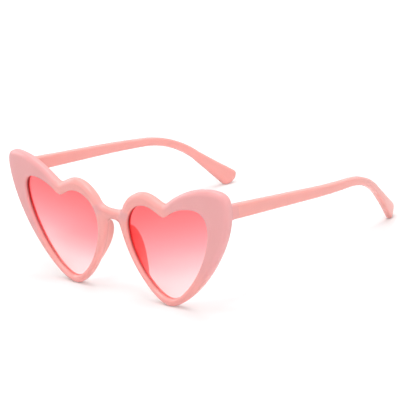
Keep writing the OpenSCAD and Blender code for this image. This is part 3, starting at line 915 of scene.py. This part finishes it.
def lens_loop(share, depth):
    rim = [opening[i] + LENS_BITE * opening_out[i] for i in range(columns)]
    return [face_point(lens_middle.lerp(p, share), depth) for p in rim]


lens_sections = ([lens_loop(s, LENS_SET) for s in LENS_RINGS]
                 + [lens_loop(s, LENS_BACK) for s in reversed(LENS_RINGS)])
lens_left = loft("lens_left_skin", lens_sections, caps=False)
shade(lens_left, degrees=30)
lens_right = mirrored(lens_left, "lens_right_skin")
dress(lens_left, tint_left, "lens_tint", "front", "lens_left")
dress(lens_right, tint_right, "lens_tint", "front", "lens_right")

# %% [markdown]
# ## Finish of the hinges: nickel plated steel
#
# The leaves are stamped, the screws are turned, and both are nickel plated. The
# rolled sheet that leaves are stamped from has fine lines along it, here 0.15 mm
# apart, which stretch the gleam sideways.

# %% Nickel plated steel
LINE_GAP, LINE_STRETCH = 0.15 * MM, 0.08
LINE_DEPTH, LINE_STRENGTH = 0.01 * MM, 0.2
STEEL_SMOOTHEST, STEEL_ROUGHEST = 0.22, 0.38


def plated_steel(name, base_hex):
    finish = bpy.data.materials.new(name)
    tree = blank_tree(finish)
    place = add_node(tree, "ShaderNodeTexCoord").outputs["Object"]
    drawn_out = add_node(tree, "ShaderNodeMapping", Vector=place,
                         Scale=(1, LINE_STRETCH, 1))
    lines = add_node(tree, "ShaderNodeTexNoise", Vector=drawn_out.outputs[0],
                     Scale=1 / LINE_GAP, Detail=2.0)
    gloss = add_node(tree, "ShaderNodeMapRange", Value=lines.outputs["Fac"],
                     To_Min=STEEL_SMOOTHEST, To_Max=STEEL_ROUGHEST)
    relief = add_node(tree, "ShaderNodeBump", Height=lines.outputs["Fac"],
                      Strength=LINE_STRENGTH, Distance=LINE_DEPTH)
    metal = add_node(tree, "ShaderNodeBsdfPrincipled", Base_Color=colour(base_hex),
                     Metallic=1.0, Roughness=gloss.outputs[0], Normal=relief.outputs["Normal"])
    add_node(tree, "ShaderNodeOutputMaterial", Surface=metal.outputs[0])
    return finish


nickel = plated_steel("nickel_plated_steel", "#C9C8C6")
print("metal finish:", nickel.name)

# %% [markdown]
# ## The hinges
#
# The CAD hinge parts have the right shape, but their edges are perfectly sharp,
# and real stamped parts never are. A copy of each left mesh is welded, its flat
# areas are dissolved back to single faces, and a Bevel modifier breaks the edges.
# A last step dissolves faces without area, since such a face has no direction and
# shades wrongly. The hinges are alike, so the right parts are the left ones
# mirrored.
#
# The core wires are round and lie inside the arms, so they keep their CAD meshes.

# %% Hinge parts with broken edges
EDGE_BREAK, BREAK_SEGMENTS = 0.09 * MM, 2
# Faces that turn less than this are one flat area, and an edge is broken from this on
FLAT_WITHIN, SHARP_FROM = math.radians(2), math.radians(40)
# Each row is (part, body of the left one, body of the right one)
HINGE_PARTS = (("front_leaf", "front", "front"), ("hinge_screw", "front", "front"),
               ("temple_leaf", "arm_left", "arm_right"))


def broken_edges(node):
    piece = bpy.data.objects.new(node + "_plated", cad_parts[node].data.copy())
    bpy.context.scene.collection.objects.link(piece)
    edit_all(piece)
    bpy.ops.mesh.remove_doubles(threshold=WELD_GAP)
    bpy.ops.mesh.dissolve_limited(angle_limit=FLAT_WITHIN)
    bpy.ops.object.mode_set(mode="OBJECT")
    bpy.ops.object.modifier_add(type="BEVEL")
    bevel = piece.modifiers["Bevel"]
    bevel.width, bevel.segments, bevel.limit_method = EDGE_BREAK, BREAK_SEGMENTS, "ANGLE"
    bevel.angle_limit = SHARP_FROM
    bpy.ops.object.modifier_apply(modifier="Bevel")
    edit_all(piece)
    bpy.ops.mesh.dissolve_degenerate(threshold=WELD_GAP)
    bpy.ops.object.mode_set(mode="OBJECT")
    shade(piece, degrees=30)
    return piece


for node, left_body, right_body in HINGE_PARTS:
    left_part = broken_edges(node + "_left")
    right_part = mirrored(left_part, node + "_right_plated")
    dress(left_part, nickel, "hinge_metal", left_body, node + "_left")
    dress(right_part, nickel, "hinge_metal", right_body, node + "_right")
for side in ("left", "right"):
    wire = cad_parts["core_wire_" + side]
    wire.data.materials.clear()
    wire.data.materials.append(nickel)

# %% [markdown]
# ## The table, the room and the light
#
# The pair stands on a white sheet in a bright room. A panel about two metres wide
# above it makes the sheet white and gives the soft touch of shadow at the points,
# which a smaller lamp would draw out into hard shapes. A narrow lamp in front draws
# the gleam on the sloping edges, and one lamp on either side lights the flanks.
#
# To the eye the room is plain white, straight on, in a reflection and through a
# lens. As a light it is much weaker, and weakest from the front, so that the pair
# keeps its shading. The sheet is off-white and lit by the lamps. It also has a
# faint glow that the eye sees in the same three ways, and that is no light on dull
# surfaces.

# %% White table
TABLE_SIZE, SHEET_GLOW = 3, 0.14
WHITE = colour("#FFFFFF")


def seen_by_eye(tree):
    """1 on a ray that the eye follows, straight, in a reflection or through a lens."""
    ray = add_node(tree, "ShaderNodeLightPath")
    seen = ray.outputs["Is Camera Ray"]
    for kind in ("Is Glossy Ray", "Is Transmission Ray"):
        seen = add_node(tree, "ShaderNodeMath", {"operation": "MAXIMUM"},
                        i0=seen, i1=ray.outputs[kind]).outputs[0]
    return seen


select_only()
bpy.ops.mesh.primitive_plane_add(size=TABLE_SIZE)
table = bpy.context.object
table.name = "table"
paper = bpy.data.materials.new("white_table")
tree = blank_tree(paper)
sheet = add_node(tree, "ShaderNodeBsdfDiffuse", Color=colour("#EDEDED"))
lift = add_node(tree, "ShaderNodeMath", {"operation": "MULTIPLY"},
                i0=seen_by_eye(tree), i1=SHEET_GLOW)
glow = add_node(tree, "ShaderNodeEmission", Color=WHITE, Strength=lift.outputs[0])
both = add_node(tree, "ShaderNodeAddShader", i0=sheet.outputs[0], i1=glow.outputs[0])
add_node(tree, "ShaderNodeOutputMaterial", Surface=both.outputs[0])
table.data.materials.append(paper)
print("the table is", TABLE_SIZE, "m wide")

# %% Bright room
# Strength as a light, and the share of it that is missing from straight in front
ROOM_LIGHT, FRONT_DIM = 0.36, 0.65
room = bpy.data.worlds.new("bright_room")
bpy.context.scene.world = room
tree = blank_tree(room)
look = add_node(tree, "ShaderNodeTexCoord").outputs["Generated"]
ahead = add_node(tree, "ShaderNodeMath", {"operation": "MULTIPLY", "use_clamp": True},
                 i0=add_node(tree, "ShaderNodeSeparateXYZ", Vector=look).outputs["Y"], i1=-1.0)
dimmed = add_node(tree, "ShaderNodeMapRange", Value=ahead.outputs[0],
                  To_Min=ROOM_LIGHT, To_Max=ROOM_LIGHT * (1 - FRONT_DIM))
power = add_node(tree, "ShaderNodeMapRange", Value=seen_by_eye(tree),
                 To_Min=dimmed.outputs[0], To_Max=1.0)
walls = add_node(tree, "ShaderNodeBackground", Color=WHITE, Strength=power.outputs[0])
add_node(tree, "ShaderNodeOutputWorld", Surface=walls.outputs[0])
print("as a light the room has strength", ROOM_LIGHT)

# %% Soft lamps
# Places in metres. A lamp's left and right are those of someone looking at the front
PAIR_MIDDLE = (0, 0, 0.03)


def soft_lamp(name, place, aim, size, watts, width=None, along=(1, 0, 0)):
    """A panel of light. Its long side runs along the given direction."""
    lamp = bpy.data.lights.new(name, "AREA")
    lamp.shape, lamp.energy = "RECTANGLE", watts
    lamp.size, lamp.size_y = size, width or size
    away = (Vector(place) - Vector(aim)).normalized()
    side = (Vector(along) - away * away.dot(Vector(along))).normalized()
    holder = bpy.data.objects.new(name, lamp)
    holder.location = place
    holder.rotation_euler = Matrix((side, away.cross(side), away)).transposed().to_euler()
    bpy.context.scene.collection.objects.link(holder)


soft_lamp("lamp_above", place=(0, 0, 2.7), aim=(0, 0, 0), size=2.2, watts=54)
soft_lamp("lamp_gleam", place=(0.5, -1.8, 2.1), aim=PAIR_MIDDLE, size=1.0, watts=15,
          width=0.35, along=(1, 0, -0.4))
soft_lamp("lamp_left", place=(-2.6, -1.0, 1.1), aim=PAIR_MIDDLE, size=1.6, watts=16)
soft_lamp("lamp_right", place=(5.6, -1.6, 2.4), aim=PAIR_MIDDLE, size=3.2, watts=98)
print("lamps:", [lamp.name for lamp in bpy.data.lights])

# %% [markdown]
# ## The camera
#
# This camera was fitted to the outline of the photographed pair. It stands over a
# metre away with a long lens, to the wearer's left and a little above, and is
# turned slightly against the horizon.

# %% Camera of the photograph
# Angles in radians, the distance in metres, the sensor and the aim in millimetres
AZIMUTH, ELEVATION, ROLL = 0.75136, 0.35269, 0.10013
DISTANCE, FOCAL_PX, PICTURE_PX, SENSOR = 1.1703, 2422.3, 400, 36.0
AIM_X, AIM_Y, AIM_Z = 17.95, 43.46, 37.18
target = Vector((AIM_X, AIM_Y + shift_y, AIM_Z)) * MM
backward = Vector((math.sin(AZIMUTH) * math.cos(ELEVATION),
                   -math.cos(AZIMUTH) * math.cos(ELEVATION), math.sin(ELEVATION)))
right = Vector((math.cos(AZIMUTH), math.sin(AZIMUTH), 0))
upward = backward.cross(right)
view = bpy.data.cameras.new("photo_camera")
view.lens, view.sensor_width = FOCAL_PX / PICTURE_PX * SENSOR, SENSOR
view.clip_start, view.clip_end = 0.05, 20
camera = bpy.data.objects.new("photo_camera", view)
bpy.context.scene.collection.objects.link(camera)
turn = Matrix((right, upward, backward)).transposed().to_4x4() @ Matrix.Rotation(-ROLL, 4, "Z")
camera.matrix_world = Matrix.Translation(target + DISTANCE * backward) @ turn
bpy.context.scene.camera = camera
bpy.context.scene.view_settings.view_transform = "Standard"
print("lens", round(view.lens, 1), "mm at", DISTANCE, "m")
